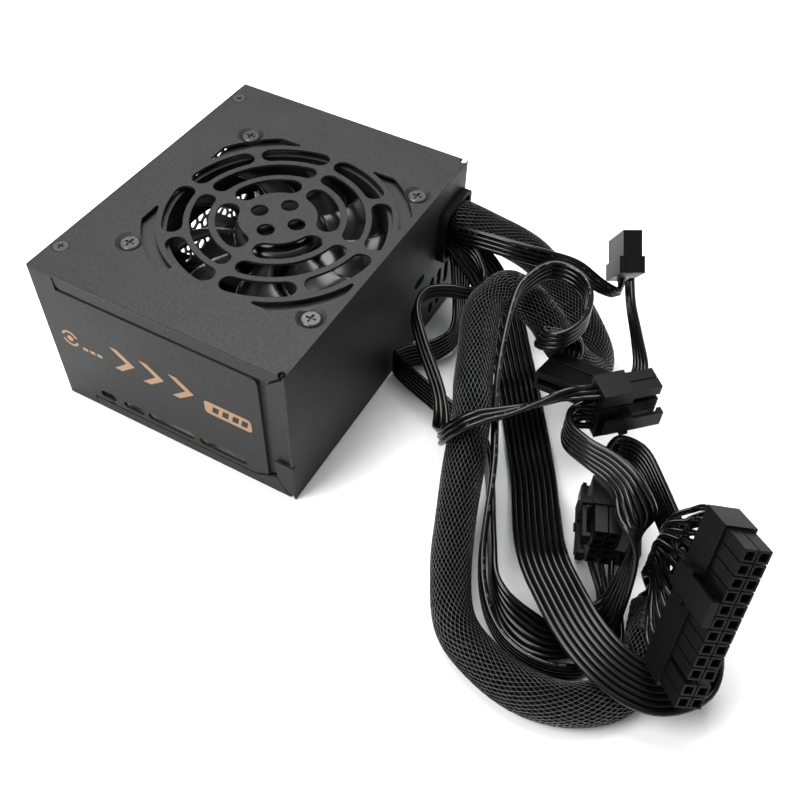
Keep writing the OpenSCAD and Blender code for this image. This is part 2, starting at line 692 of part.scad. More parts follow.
pcie_route = [
    [[47.5, 49.5, 33.4], [0, 1, 0]], [[54.2, 49.5, 32.7], [0, 1, 0]], [[60, 43, 25], [0.3, 0.7, -0.6]],
    [[66, 29, 12], [0.1, 0.2, -1]], [[63, 20, 7.5], [0, 0, -1]], [[53, 8, 7.2], [0, 0, -1]],
    [[56, 3, 7.2], [0, 0, -1]], [[91, -10, 7.2], [0, 0, -1]], [[103, -20, 7.2], [0, 0, -1]],
    [[118, -49, 7.2], [0, 0, -1]], [[125, -62, 7.2], [0, 0, -1]],
    [[134, -69.5, 6.5], [0.1, -0.6, -0.8]], [[145, -71.5, 5.5], [0.2, -0.9, -0.2]],
    [[153, -67, 5], [0.7, -0.6, 0]], [[158, -60, 7], [0.75, -0.6, 0]],
    [[161, -54, 13], [0.5, -0.85, 0]], [[160, -44, 35], [0.2, -0.95, -0.3]],
    [[154, -37, 43.8], [-0.1, -0.6, -0.8]], [[146, -31, 45], [0, -0.2, -1]],
    [[136, -28, 44.5], [0, 0, -1]], [[128, -23, 42.8], [0, 0, -1]],
    [[126, -15, 41.5], [0, 0, -1]], [[131, -10, 41.3], [0, 0, -1]]
];

sense_route = [
    [[47.5, 45.75, 41], [0, 0, 1]], [[56, 45.8, 39.8], [0, 0, 1]], [[65, 44, 36.8], [0, 0, 1]],
    [[71.5, 37, 33], [0.1, 0.1, 1]], [[70.5, 29, 33], [0, 0, 1]], [[63, 25, 34], [0, 0, 1]],
    [[56.6, 19.6, 34], [0, 0, 1]], [[56.6, 11, 33], [0.2, 0.2, 1]], [[63.6, 2, 29.6], [0.3, 0.2, 0.9]],
    [[77, -10.6, 24], [0.6, 0, 0.7]], [[83, -19, 22], [0.75, -0.4, 0.3]], [[87, -27.6, 23], [0.6, -0.7, 0]],
    [[89.6, -33, 28], [0.5, -0.8, -0.1]], [[93.4, -34.4, 35.6], [0.5, -0.8, -0.2]],
    [[99.6, -30.6, 41.4], [0.5, -0.8, -0.1]], [[107, -25.6, 43.5], [0.5, -0.7, 0.3]],
    [[115.6, -20, 47], [0.3, -0.4, 0.8]], [[124, -14, 51.2], [0, 0, 1]], [[130.6, -10.2, 51.6], [0, 0, 1]]
];

drive_route = [
    [[47.5, 43.2, 42.9], [0, 0, 1]], [[56, 43, 44.9], [0, 0, 1]], [[68, 41.8, 47.5], [0, 0, 1]],
    [[80, 42, 48.3], [0, 0, 1]], [[92, 45, 47], [0, 0, 1]], [[102, 50, 43], [0, -0.1, 1]],
    [[112, 52, 37.5], [0.1, -0.3, 0.95]], [[118.4, 54, 35.6], [0.2, -0.5, 0.85]],
    [[118.6, 56.3, 38.6], [0.29, -0.58, 0.76]]
];

link_route = [
    [[121.6, 50.2, 46.6], [0.29, -0.58, 0.76]], [[125.6, 44.2, 41], [0.29, -0.58, 0.76]],
    [[132, 37.6, 33], [0.4, -0.5, 0.75]], [[137, 31, 26.6], [0.6, -0.4, 0.7]],
    [[136.4, 24.4, 23], [0.8, -0.3, 0.5]], [[130.6, 22.4, 25], [0.95, -0.1, 0.2]],
    [[126.6, 20.4, 28.2], [1, -0.1, 0.1]], [[125.6, 15.9, 29.4], [1, -0.1, 0.1]]
];

tail_route = [
    [[113.8, 17.6, 30.9], [1, -0.1, 0.1]], [[113.6, 21.5, 33], [1, 0, 0.1]],
    [[111.5, 20.5, 38.5], [0.9, 0.2, 0.3]], [[106.5, 13.5, 43.5], [0.6, 0.2, 0.7]],
    [[106, 6.5, 48], [0.1, 0, 0.9]], [[112, 5.5, 50.8], [0, 0, 1]], [[116, 13, 52], [0, 0, 1]],
    [[115.5, 23, 52], [0, 0, 1]], [[111, 32, 52], [0, 0, 1]], [[104, 36, 52], [0, 0, 1]],
    [[97, 35, 52], [0, 0, 1]], [[92.5, 28, 51], [0, 0, 1]], [[91, 17, 48], [0, 0, 1]],
    [[98.5, -11, 40], [0, 0, 1]], [[110, -36, 29], [0, 0, 1]], [[118, -58, 14], [0, 0, 1]],
    [[125.5, -70, 8], [0, 0, 1]], [[134, -77, 5.6], [0, 0, 1]], [[143, -80, 5.6], [0, 0, 1]],
    [[152, -79.5, 5.8], [0, 0, 1]], [[160, -75, 4.8], [0.4, 0.4, 0.8]],
    [[164.5, -67, 2.8], [0.8, 0.4, 0.3]], [[164, -58, 2], [1, 0, 0]], [[153, -35, 5.6], [0.95, 0.3, 0]]
];

function flat_ring(c, t, across, w) = let (
    a = unit(across - (across * t) * t),
    up = cross(t, a),
    x = w / 2,
    y = wire_d / 2
) [for (p = [[x, 0.4 * y], [x - 0.7, y], [0.7 - x, y], [-x, 0.4 * y],
             [-x, -0.4 * y], [0.7 - x, -y], [x - 0.7, -y], [x, -0.4 * y]]) c + p[0] * a + p[1] * up];

module flat_cable(route, wires) {
    line = [for (p = route) p[0]];
    sweep([for (i = [0:len(line) - 1]) flat_ring(line[i], tangent(line, i), route[i][1], wires * wire_d)]);
}

module atx_cable() color("#161617") round_cable(atx_route, sleeve_r, 1, 12);
module cpu_cable() color("#121213") flat_cable(cpu_route, 8);
module pcie_cable() color("#121213") flat_cable(pcie_route, 6);
module sense_cable() color("#121213") flat_cable(sense_route, 3);
module drive_cable() color("#121213") flat_cable(drive_route, 4);
module drive_link() color("#121213") flat_cable(link_route, 4);
module drive_tail() color("#121213") flat_cable(tail_route, 4);

// ---------- connectors ----------
// Each stands in its own axes: +X along the rows, +Y across them, +Z out of the mating face.

shell_wall = 1.2;
shell_t = 2 * pitch + shell_wall;
shell_len = 20;
tower_len = 9.6;                 // the separate towers round the terminals

atx_place = [[188.7, -69, 49.6], [0.03, -0.49, -0.87], [0.55, -0.72, 0.42]];
cpu_place = [[151.6, -46, 27], [0, 0, -1], [0.35, -0.93, 0]];
pcie_place = [[145.6, 4, 46], [0, 0, -1], [0.72, 0.69, 0]];
plug_1_place = [[113.4, 63.8, 53.6], [0.29, -0.58, 0.76], [-0.38, 0.66, 0.64]];
plug_2_place = [[119, 1.2, 33.4], [1, 0.12, 0.05], [-0.1, -0.95, 0.22]];
peripheral_place = [[145.5, -11.2, 5.6], [0.95, 0.3, 0], [-0.3, 0.95, 0]];

module stand(place) {
    // Moves a connector from its own axes to its place: [mating face, along the rows, outwards].
    n = unit(place[2]);
    r = unit(place[1] - (place[1] * n) * n);
    a = cross(n, r);
    c = place[0];
    multmatrix([
        [r[0], a[0], n[0], c[0]], [r[1], a[1], n[1], c[1]], [r[2], a[2], n[2], c[2]], [0, 0, 0, 1]
    ]) children();
}

module shell(columns, first) {
    // columns pairs of terminals, whose first column starts at x = first.
    w = columns * pitch + shell_wall - 0.1;
    difference() {
        union() {
            translate([first - shell_wall / 2 + 0.05, -shell_t / 2, -shell_len])
                cube([w, shell_t, shell_len - tower_len]);
            for (i = [0:columns - 1], j = [-1, 0])
                translate([first + i * pitch + 0.2, j * pitch + 0.2, -tower_len - 0.5])
                    cube([3.8, 3.8, tower_len + 0.5]);
        }
        for (i = [0:columns - 1], j = [-0.5, 0.5])
            translate([first + (i + 0.5) * pitch - 1.25, j * pitch - 1.25, -8]) cube([2.5, 2.5, 9]);
    }
}

latch_axis_y = -shell_t / 2 - 2;
latch_axis_z = -11.5;

module latch_ears(x, w) {
    // Two ears that carry the ends of a latch's pivot.
    for (s = [-1, 1]) difference() {
        translate([x + s * (w / 2 + 0.75) - 0.6, latch_axis_y - 1, latch_axis_z - 1.4])
            cube([1.2, 3, 2.8]);
        translate([x + s * (w / 2 + 0.75) - 2, latch_axis_y, latch_axis_z])
            rotate([0, 90, 0]) cylinder(r = 0.6, h = 4);
    }
}

module latch(x, w) {
    translate([x - w / 2, latch_axis_y - 0.7, -18.5]) cube([w, 1.2, 19.5]);
    translate([x - w / 2, latch_axis_y - 0.7, -0.4]) cube([w, 2.4, 1.4]);
    translate([x - w / 2 - 1.3, latch_axis_y, latch_axis_z])
        rotate([0, 90, 0]) cylinder(r = 0.54, h = w + 2.6);
}

module atx_shell_20() color(black) stand(atx_place) {
    shell(10, -6 * pitch);
    latch_ears(-1.2 * pitch, 8);
}
module atx_shell_4() color(black) stand(atx_place) shell(2, 4 * pitch + shell_wall + 0.05);
module atx_latch() color("#2b2b2d") stand(atx_place) latch(-1.2 * pitch, 8);

module cpu_shell_a() color(black) stand(cpu_place) {
    shell(2, -2 * pitch - 0.65);
    latch_ears(-pitch - 0.65, 4.6);
}
module cpu_shell_b() color(black) stand(cpu_place) {
    shell(2, 0.65);
    latch_ears(pitch + 0.65, 4.6);
}
module cpu_latch_a() color("#2b2b2d") stand(cpu_place) latch(-pitch - 0.65, 4.6);
module cpu_latch_b() color("#2b2b2d") stand(cpu_place) latch(pitch + 0.65, 4.6);

pcie_first = -1.6;               // where the first of the three columns starts
pcie_side = -7.6;                // where the separate column starts
module pcie_shell_6() color(black) stand(pcie_place) {
    shell(3, pcie_first);
    latch_ears(pcie_first + 1.5 * pitch, 6);
}
module pcie_shell_2() color(black) stand(pcie_place) shell(1, pcie_side);
module pcie_latch() color("#2b2b2d") stand(pcie_place) latch(pcie_first + 1.5 * pitch, 6);

module terminals() color("#c2b280") {
    stand(atx_place) for (i = [0:11])
        terminal_pair((i - 5.5) * pitch + (i > 9 ? shell_wall + 0.05 : 0));
    stand(cpu_place) for (s = [-1, 1], i = [0, 1]) terminal_pair(s * (0.65 + (i + 0.5) * pitch));
    stand(pcie_place) {
        for (i = [0:2]) terminal_pair(pcie_first + (i + 0.5) * pitch);
        terminal_pair(pcie_side + 0.5 * pitch);
    }
}
module terminal_pair(x) for (y = [-pitch / 2, pitch / 2]) translate([x, y, -8]) difference() {
    translate([-1.05, -1.05, 0]) cube([2.1, 2.1, 6]);
    translate([-0.75, -0.75, 1]) cube([1.5, 1.5, 6]);
}

module drive_plug() difference() {
    union() {
        translate([-11.7, -3.3, -15]) cube([23.4, 6.6, 15]);
        translate([-11.2, -4.4, -15]) cube([22.4, 8.8, 6]);
    }
    // The keyed slot for the blade on the drive.
    translate([-10.4, -1.2, -8]) cube([20.8, 2.4, 9]);
    translate([8, -2.6, -8]) cube([2.4, 2.6, 9]);
}
module drive_plug_1() color(black) stand(plug_1_place) drive_plug();
module drive_plug_2() color(black) stand(plug_2_place) drive_plug();

module peripheral_plug() color(black) stand(peripheral_place) translate([0, 0, -24]) difference() {
    linear_extrude(24)
        polygon([[-10.5, -4.4], [10.5, -4.4], [10.5, 2.4], [8.5, 4.4], [-8.5, 4.4], [-10.5, 2.4]]);
    for (i = [-1.5:1:1.5]) translate([i * 5.08, 0, 12]) cylinder(r = 1.7, h = 13);
}

// The 24 wires between the sleeve's end and the back of the large connector.
module atx_wires() color("#121213") {
    n = unit(atx_place[2]);
    row = unit(atx_place[1] - (atx_place[1] * n) * n);
    back = atx_place[0] - (shell_len + 0.15) * n;
    first = unit([-2, 10, 2]);
    line = [[172, -46, 9] + 0.3 * first, [170.3, -38.5, 15], [169.6, -37.5, 26], back - 8 * n, back];
    half = [[6, 6], [6, 5.6], [8, 5], [17, 4.4], [23.5, 4]];
    sweep([for (i = [0:len(line) - 1]) let (
        t = i == 0 ? first : i == len(line) - 1 ? n : tangent(line, i),
        a = unit(row - (row * t) * t),
        b = cross(t, a)
    ) [for (k = [0:11]) line[i] + half[i][0] * cos(30 * k) * a + half[i][1] * sin(30 * k) * b]]);
}

outer_shell();
inner_shell();
corner_screws();
fan_screws();
cable_bushing();
fan_frame();
fan_rotor();
fan_magnet();
fan_shaft();
fan_bearing();
fan_stator();
fan_board();
fan_lead();
inlet_body();
inlet_pins();
switch_housing();
switch_rocker();
mains_leads();
main_board();
board_pillars();
board_screws();
insulating_sheet();
bulk_capacitor();
boost_inductor();
main_transformer();
standby_transformer();
primary_heatsink();
secondary_heatsink();
power_transistors();
bridge_rectifier();
filter_choke();
filter_capacitor();
output_inductor();
output_capacitors();
control_board();
fuse();
output_leads();
atx_cable();
atx_wires();
cpu_cable();
pcie_cable();
sense_cable();
drive_cable();
drive_link();
drive_tail();
atx_shell_20();
atx_shell_4();
atx_latch();
cpu_shell_a();
cpu_shell_b();
cpu_latch_a();
cpu_latch_b();
pcie_shell_6();
pcie_shell_2();
pcie_latch();
terminals();
drive_plug_1();
drive_plug_2();
peripheral_plug();
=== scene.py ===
import math
import random

import bpy
from mathutils import Matrix, Vector


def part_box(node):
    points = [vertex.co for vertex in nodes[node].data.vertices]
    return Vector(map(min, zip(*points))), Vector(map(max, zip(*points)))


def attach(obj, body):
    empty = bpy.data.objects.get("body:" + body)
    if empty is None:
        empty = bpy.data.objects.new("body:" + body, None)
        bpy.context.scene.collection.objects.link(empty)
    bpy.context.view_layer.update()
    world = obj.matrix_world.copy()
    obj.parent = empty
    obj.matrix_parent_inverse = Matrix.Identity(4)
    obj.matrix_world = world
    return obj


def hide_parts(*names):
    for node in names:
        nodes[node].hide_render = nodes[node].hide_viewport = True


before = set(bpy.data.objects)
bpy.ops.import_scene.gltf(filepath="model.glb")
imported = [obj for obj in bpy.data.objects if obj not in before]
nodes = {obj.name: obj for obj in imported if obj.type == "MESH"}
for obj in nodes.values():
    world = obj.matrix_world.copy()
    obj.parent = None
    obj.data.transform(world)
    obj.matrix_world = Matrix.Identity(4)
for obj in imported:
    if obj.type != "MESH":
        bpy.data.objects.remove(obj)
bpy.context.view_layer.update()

rng = random.Random(7)

MM = 0.001
WIRE_R = 1.05 * MM              # one insulated wire
WIRE_PITCH = 2.06 * MM          # between fused wires in a flat cable
SLEEVE_R = 6.6 * MM
TERMINAL_PITCH = 4.2 * MM
LOOSE_WIRE_R = 0.95 * MM        # a single wire between the sleeve and its connector
TOWER_GAP = 1.25 * MM           # between the 20-way and the 4-way halves
SHELL_LENGTH = 20 * MM


# ---------- camera ----------

def add_camera(azimuth, elevation, roll, place, lens):
    """A camera looking back along a direction given by azimuth and elevation, in degrees."""
    a, e, r = (math.radians(v) for v in (azimuth, elevation, roll))
    back = Vector((math.sin(a) * math.cos(e), -math.cos(a) * math.cos(e), math.sin(e)))
    right = Vector((0, 0, 1)).cross(back).normalized()
    up = back.cross(right)
    right, up = right * math.cos(r) + up * math.sin(r), up * math.cos(r) - right * math.sin(r)
    data = bpy.data.cameras.new("camera")
    data.lens = lens
    data.sensor_width = 36
    data.clip_start = 0.01
    camera = bpy.data.objects.new("camera", data)
    bpy.context.collection.objects.link(camera)
    turn = Matrix((right, up, back)).transposed().to_4x4()
    camera.matrix_world = Matrix.Translation(place) @ turn
    bpy.context.scene.camera = camera


add_camera(26.497, 49.949, 2.635, (0.161635, -0.20906, 0.271562), 42.0)


# ---------- materials ----------

FINE_SHARE = 0.75               # of the fine noise in a surface's colour; the broad noise has the rest


def link(mat, source, output, target, socket):
    mat.node_tree.links.new(source.outputs[output], target.inputs[socket])


def node(mat, kind, **values):
    made = mat.node_tree.nodes.new(kind)
    for key, value in values.items():
        if hasattr(made, key):
            setattr(made, key, value)
        else:
            made.inputs[key.replace("_", " ")].default_value = value
    return made


def ramp(mat, low, high, start=0.3, end=0.7):
    made = node(mat, "ShaderNodeValToRGB")
    made.color_ramp.elements[0].position = start
    made.color_ramp.elements[0].color = (*low, 1)
    made.color_ramp.elements[1].position = end
    made.color_ramp.elements[1].color = (*high, 1)
    return made


def surface(name, dark, light, rough, grain, depth=0.02, metal=0.0, soft_edge=0.0, cloud=60,
            shine=0.5):
    """Two close colours and a roughness, both mottled by noise, over a fine grain.

    grain, depth and soft_edge are in mm; cloud is the broad noise's scale, per metre.
    """
    mat = bpy.data.materials.new(name)
    mat.use_nodes = True
    shader = mat.node_tree.nodes["Principled BSDF"]
    shader.inputs["Metallic"].default_value = metal
    shader.inputs["Specular IOR Level"].default_value = shine
    coords = node(mat, "ShaderNodeTexCoord")
    fine = node(mat, "ShaderNodeTexNoise", Scale=1 / (grain * MM), Detail=3.0)
    broad = node(mat, "ShaderNodeTexNoise", Scale=float(cloud), Detail=4.0)
    for texture in (fine, broad):
        link(mat, coords, "Object", texture, "Vector")
    mixed = node(mat, "ShaderNodeMath", operation="MULTIPLY_ADD")
    mixed.inputs[1].default_value = FINE_SHARE
    link(mat, fine, "Fac", mixed, 0)
    rest = node(mat, "ShaderNodeMath", operation="MULTIPLY")
    rest.inputs[1].default_value = 1 - FINE_SHARE
    link(mat, broad, "Fac", rest, 0)
    link(mat, rest, 0, mixed, 2)
    colours = ramp(mat, dark, light)
    link(mat, mixed, 0, colours, "Fac")
    link(mat, colours, "Color", shader, "Base Color")
    gloss = node(mat, "ShaderNodeMapRange")
    gloss.inputs["From Min"].default_value = 0.3
    gloss.inputs["From Max"].default_value = 0.7
    gloss.inputs["To Min"].default_value = rough - 0.04
    gloss.inputs["To Max"].default_value = rough + 0.04
    link(mat, broad, "Fac", gloss, "Value")
    link(mat, gloss, "Result", shader, "Roughness")
    bump = node(mat, "ShaderNodeBump", Strength=0.6, Distance=depth * MM)
    link(mat, fine, "Fac", bump, "Height")
    if soft_edge:
        edge = node(mat, "ShaderNodeBevel", samples=4)
        edge.inputs["Radius"].default_value = soft_edge * MM
        link(mat, edge, "Normal", bump, "Normal")
    link(mat, bump, "Normal", shader, "Normal")
    return mat


def grey(value):
    return (value, value, value)


def woven_sleeve(name):
    """Fine glossy filaments plaited two ways, with painted highlights on their crests and painted shade
    between the strands; the mesh's UV counts cells around and along.
    """
    mat = surface(name, grey(0.002), grey(0.01), 0.24, 0.5, 0.02, shine=0.45)
    shader = mat.node_tree.nodes["Principled BSDF"]
    uv = node(mat, "ShaderNodeUVMap", uv_map="UVMap")
    split = node(mat, "ShaderNodeSeparateXYZ")
    link(mat, uv, "UV", split, "Vector")
    heights = []
    for operation in ("ADD", "SUBTRACT"):
        along = node(mat, "ShaderNodeMath", operation=operation)
        link(mat, split, "X", along, 0)
        link(mat, split, "Y", along, 1)
        wave = node(mat, "ShaderNodeMath", operation="MULTIPLY")
        wave.inputs[1].default_value = 2 * math.pi
        link(mat, along, 0, wave, 0)
        sine = node(mat, "ShaderNodeMath", operation="SINE")
        link(mat, wave, 0, sine, 0)
        heights.append(sine)
    top = node(mat, "ShaderNodeMath", operation="MAXIMUM")
    link(mat, heights[0], 0, top, 0)
    link(mat, heights[1], 0, top, 1)
    # Painted highlight and painted shade: the base colour runs from near black between the strands to
    # lighter on each filament crest.
    colours = ramp(mat, grey(0.0003), grey(0.03), 0.72, 1.0)
    link(mat, top, 0, colours, "Fac")
    link(mat, colours, "Color", shader, "Base Color")
    bump = node(mat, "ShaderNodeBump", Strength=1.0, Distance=0.6 * MM)
    link(mat, top, 0, bump, "Height")
    link(mat, bump, "Normal", shader, "Normal")
    return mat


def marked_jacket(name):
    """Glossy insulation; the mesh's UV says which wire it is, and one wire carries worn dashes."""
    mat = surface(name, grey(0.001), grey(0.002), 0.2, 0.9, 0.012, shine=0.3)
    shader = mat.node_tree.nodes["Principled BSDF"]
    base = shader.inputs["Base Color"].links[0].from_socket
    uv = node(mat, "ShaderNodeUVMap", uv_map="UVMap")
    split = node(mat, "ShaderNodeSeparateXYZ")
    link(mat, uv, "UV", split, "Vector")
    dashes = node(mat, "ShaderNodeTexNoise", noise_dimensions="1D", Scale=1.0, Detail=1.0)
    link(mat, split, "X", dashes, "W")
    inked = node(mat, "ShaderNodeMath", operation="GREATER_THAN")
    inked.inputs[1].default_value = 0.6
    link(mat, dashes, "Fac", inked, 0)
    band = node(mat, "ShaderNodeMath", operation="COMPARE")
    band.inputs[1].default_value = 0.25
    band.inputs[2].default_value = 0.045
    link(mat, split, "Y", band, 0)
    both = node(mat, "ShaderNodeMath", operation="MULTIPLY")
    link(mat, inked, 0, both, 0)
    link(mat, band, 0, both, 1)
    mix = node(mat, "ShaderNodeMix", data_type="RGBA")
    link(mat, both, 0, mix, "Factor")
    mat.node_tree.links.new(base, mix.inputs[6])
    mix.inputs[7].default_value = (0.045, 0.045, 0.044, 1)
    mat.node_tree.links.new(mix.outputs[2], shader.inputs["Base Color"])
    return mat


STEEL = surface("powder_coat", grey(0.008), grey(0.027), 0.52, 0.7, 0.07, soft_edge=0.45, shine=0.2)
SCREW = surface("blackened_screw", grey(0.03), grey(0.07), 0.38, 0.6, 0.02, metal=0.6, soft_edge=0.15)
FAN = surface("fan_moulding", grey(0.004), grey(0.009), 0.42, 0.7, 0.02, soft_edge=0.3, shine=0.3)
ROTOR = surface("rotor_moulding", grey(0.003), grey(0.007), 0.26, 0.9, 0.01, soft_edge=0.4, shine=0.35)
NYLON = surface("connector_nylon", grey(0.001), grey(0.003), 0.4, 0.5, 0.03, soft_edge=0.25, shine=0.14)
BUSHING = surface("bushing_rubber", grey(0.002), grey(0.004), 0.65, 0.5, 0.02, soft_edge=0.3, shine=0.15)
JACKET = marked_jacket("wire_jacket")
SLEEVE = woven_sleeve("braided_sleeve")
SHRINK = surface("heat_shrink", grey(0.002), grey(0.005), 0.42, 0.8, 0.03, shine=0.25)
PRINT = surface("copper_print", (0.27, 0.15, 0.07), (0.38, 0.22, 0.115), 0.45, 0.4, 0.02)
PLATED = surface("plated_metal", grey(0.5), grey(0.68), 0.28, 0.5, 0.01, metal=1.0, soft_edge=0.15)
BRASS = surface("tinned_brass", (0.42, 0.33, 0.18), (0.6, 0.5, 0.33), 0.32, 0.5, 0.01, metal=1.0)
COOLER = surface("extruded_aluminium", grey(0.45), grey(0.62), 0.38, 0.4, 0.02, metal=1.0)
LAMINATE = surface("circuit_laminate", (0.012, 0.06, 0.018), (0.03, 0.11, 0.03), 0.4, 0.8, 0.02)
COPPER = surface("enamelled_copper", (0.3, 0.09, 0.03), (0.55, 0.2, 0.07), 0.3, 0.9, 0.1, metal=0.5)
TAPE = surface("polyester_tape", (0.6, 0.42, 0.03), (0.8, 0.6, 0.08), 0.3, 1.5, 0.03)
CAN = surface("capacitor_sleeve", (0.01, 0.018, 0.05), (0.02, 0.035, 0.09), 0.3, 1.2, 0.02)
FERRITE = surface("bonded_ferrite", grey(0.03), grey(0.06), 0.7, 0.4, 0.03)
FIBRE = surface("insulation_sheet", (0.5, 0.46, 0.36), (0.68, 0.64, 0.52), 0.6, 0.6, 0.02)
EPOXY = surface("moulded_epoxy", grey(0.012), grey(0.024), 0.55, 0.4, 0.03)

FINISHES = {
    STEEL: "outer_shell inner_shell", SCREW: "corner_screws fan_screws", FAN: "fan_frame",
    ROTOR: "fan_rotor switch_rocker", BUSHING: "cable_bushing", FERRITE: "fan_magnet boost_inductor",
    PLATED: "fan_shaft inlet_pins board_pillars board_screws", BRASS: "terminals fan_bearing",
    COOLER: "primary_heatsink secondary_heatsink", LAMINATE: "main_board fan_board control_board",
    COPPER: "fan_stator filter_choke output_inductor",
    TAPE: "main_transformer standby_transformer filter_capacitor",
    CAN: "bulk_capacitor output_capacitors", FIBRE: "insulating_sheet fuse",
    EPOXY: "power_transistors bridge_rectifier",
    SHRINK: "fan_lead mains_leads output_leads",
    NYLON: "inlet_body switch_housing atx_shell_20 atx_shell_4 atx_latch cpu_shell_a cpu_shell_b "
           "cpu_latch_a cpu_latch_b pcie_shell_6 pcie_shell_2 pcie_latch drive_plug_1 drive_plug_2 "
           "peripheral_plug",
}


def paint(obj, mat):
    for slot in obj.material_slots:
        slot.material = mat
    if not obj.material_slots:
        obj.data.materials.append(mat)


for finish, names in FINISHES.items():
    for name in names.split():
        paint(nodes[name], finish)


# ---------- meshes ----------

def piece(name, verts, faces, mat, body="case", uvs=None, smooth=True):
    """A mesh in the row frame that rides on a CAD body."""
    mesh = bpy.data.meshes.new(name)
    mesh.from_pydata([tuple(v) for v in verts], [], faces)
    if uvs:
        layer = mesh.uv_layers.new(name="UVMap")
        for loop in mesh.loops:
            layer.data[loop.index].uv = uvs[loop.vertex_index]
    mesh.polygons.foreach_set("use_smooth", [smooth] * len(mesh.polygons))
    mesh.update()
    obj = bpy.data.objects.new(name, mesh)
    bpy.context.collection.objects.link(obj)
    obj.data.materials.append(mat)
    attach(obj, body)
    return obj


def smooth_path(points, step=1.4 * MM):
    """A Catmull-Rom curve through the points, as evenly spaced points with their place on the route."""
    dense = []
    last = len(points) - 1
    for i in range(last):
        p0, p1, p2, p3 = (Vector(points[min(max(k, 0), last)]) for k in (i - 1, i, i + 1, i + 2))
        count = max(2, round((p2 - p1).length / (0.25 * step)))
        for k in range(count):
            t = k / count
            dense.append((i + t, 0.5 * (2 * p1 + (p2 - p0) * t + (2 * p0 - 5 * p1 + 4 * p2 - p3) * t * t
                                        + (3 * p1 - p0 - 3 * p2 + p3) * t ** 3)))
    dense.append((float(last), Vector(points[last])))
    kept = [dense[0]]
    for item in dense[1:-1]:
        if (item[1] - kept[-1][1]).length >= step:
            kept.append(item)
    kept.append(dense[-1])
    return kept


def tangents(line):
    last = len(line) - 1
    return [(line[min(i + 1, last)] - line[max(i - 1, 0)]).normalized() for i in range(last + 1)]


def length_of(line):
    return sum((b - a).length for a, b in zip(line, line[1:]))


def tube(line, radius, sides, first_side=None):
    """Rings of points round a line, closed with a cap at each end."""
    verts, faces = [], []
    side = first_side or Vector((0, 0, 1))
    for p, t in zip(line, tangents(line)):
        side = (side - side.dot(t) * t).normalized()
        up = t.cross(side)
        for k in range(sides):
            a = 2 * math.pi * k / sides
            verts.append(p + radius * (math.cos(a) * side + math.sin(a) * up))
    for i in range(len(line) - 1):
        for k in range(sides):
            a, b = i * sides + k, i * sides + (k + 1) % sides
            faces.append((a, b, b + sides, a + sides))
    faces.append(tuple(range(sides))[::-1])
    faces.append(tuple(range((len(line) - 1) * sides, len(line) * sides)))
    return verts, faces


def gather(parts):
    """Joins (verts, faces) pairs into one."""
    verts, faces = [], []
    for v, f in parts:
        start = len(verts)
        verts += v
        faces += [tuple(i + start for i in face) for face in f]
    return verts, faces


# ---------- cable routes, in metres ----------
# A flat cable's points also give the direction across its wires.

ATX_ROUTE = [
    (0.0475, 0.0534, 0.0442), (0.056, 0.0539, 0.0438), (0.078, 0.062, 0.033), (0.092, 0.062, 0.024),
    (0.106, 0.056, 0.016), (0.117, 0.046, 0.011), (0.12, 0.036, 0.011), (0.115, 0.029, 0.019),
    (0.107, 0.0275, 0.028), (0.098, 0.029, 0.036), (0.085, 0.031, 0.04), (0.081, 0.025, 0.039),
    (0.0806, 0.015, 0.0385), (0.0896, -0.0096, 0.036), (0.0954, -0.0226, 0.032), (0.105, -0.0506, 0.016),
    (0.1116, -0.067, 0.009), (0.1205, -0.081, 0.0068), (0.134, -0.088, 0.0066), (0.148, -0.09, 0.0066),
    (0.161, -0.087, 0.0066), (0.171, -0.079, 0.0066), (0.175, -0.068, 0.0066), (0.174, -0.056, 0.007),
    (0.172, -0.046, 0.009),
]

CPU_ROUTE = [
    ((0.0475, 0.051, 0.0365), (0, 1, 0)), ((0.054, 0.051, 0.0359), (0, 1, 0)),
    ((0.06, 0.0503, 0.0315), (0.2, 1, 0)), ((0.068, 0.0485, 0.026), (0.4, 0.9, 0)),
    ((0.079, 0.042, 0.017), (0.6, 0.8, 0)), ((0.089, 0.031, 0.008), (0.7, 0.7, 0)),
    ((0.099, 0.018, 0.0025), (0.8, 0.6, 0)), ((0.118, -0.014, 0.004), (0.9, 0.4, 0)),
    ((0.133, -0.046, 0.0135), (0.8, 0.6, 0)), ((0.145, -0.06, 0.0155), (0.7, 0.7, 0)),
    ((0.158, -0.07, 0.0155), (0.6, 0.8, 0)), ((0.171, -0.075, 0.0148), (0.3, 0.9, 0)),
    ((0.181, -0.074, 0.0142), (-0.1, 1, 0)), ((0.189, -0.066, 0.0125), (-0.7, 0.6, -0.3)),
    ((0.189, -0.054, 0.0115), (-0.5, 0, -0.8)), ((0.183, -0.043, 0.011), (0, 0, -1)),
    ((0.177, -0.032, 0.015), (0, 0, -1)), ((0.159, -0.014, 0.022), (0, 0, -1)),
    ((0.15, -0.007, 0.0245), (0, 0, -1)), ((0.142, -0.008, 0.0255), (0, 0, -1)),
    ((0.1406, -0.0169, 0.027), (0, 0, -1)), ((0.1443, -0.0267, 0.027), (0, 0, -1)),
]

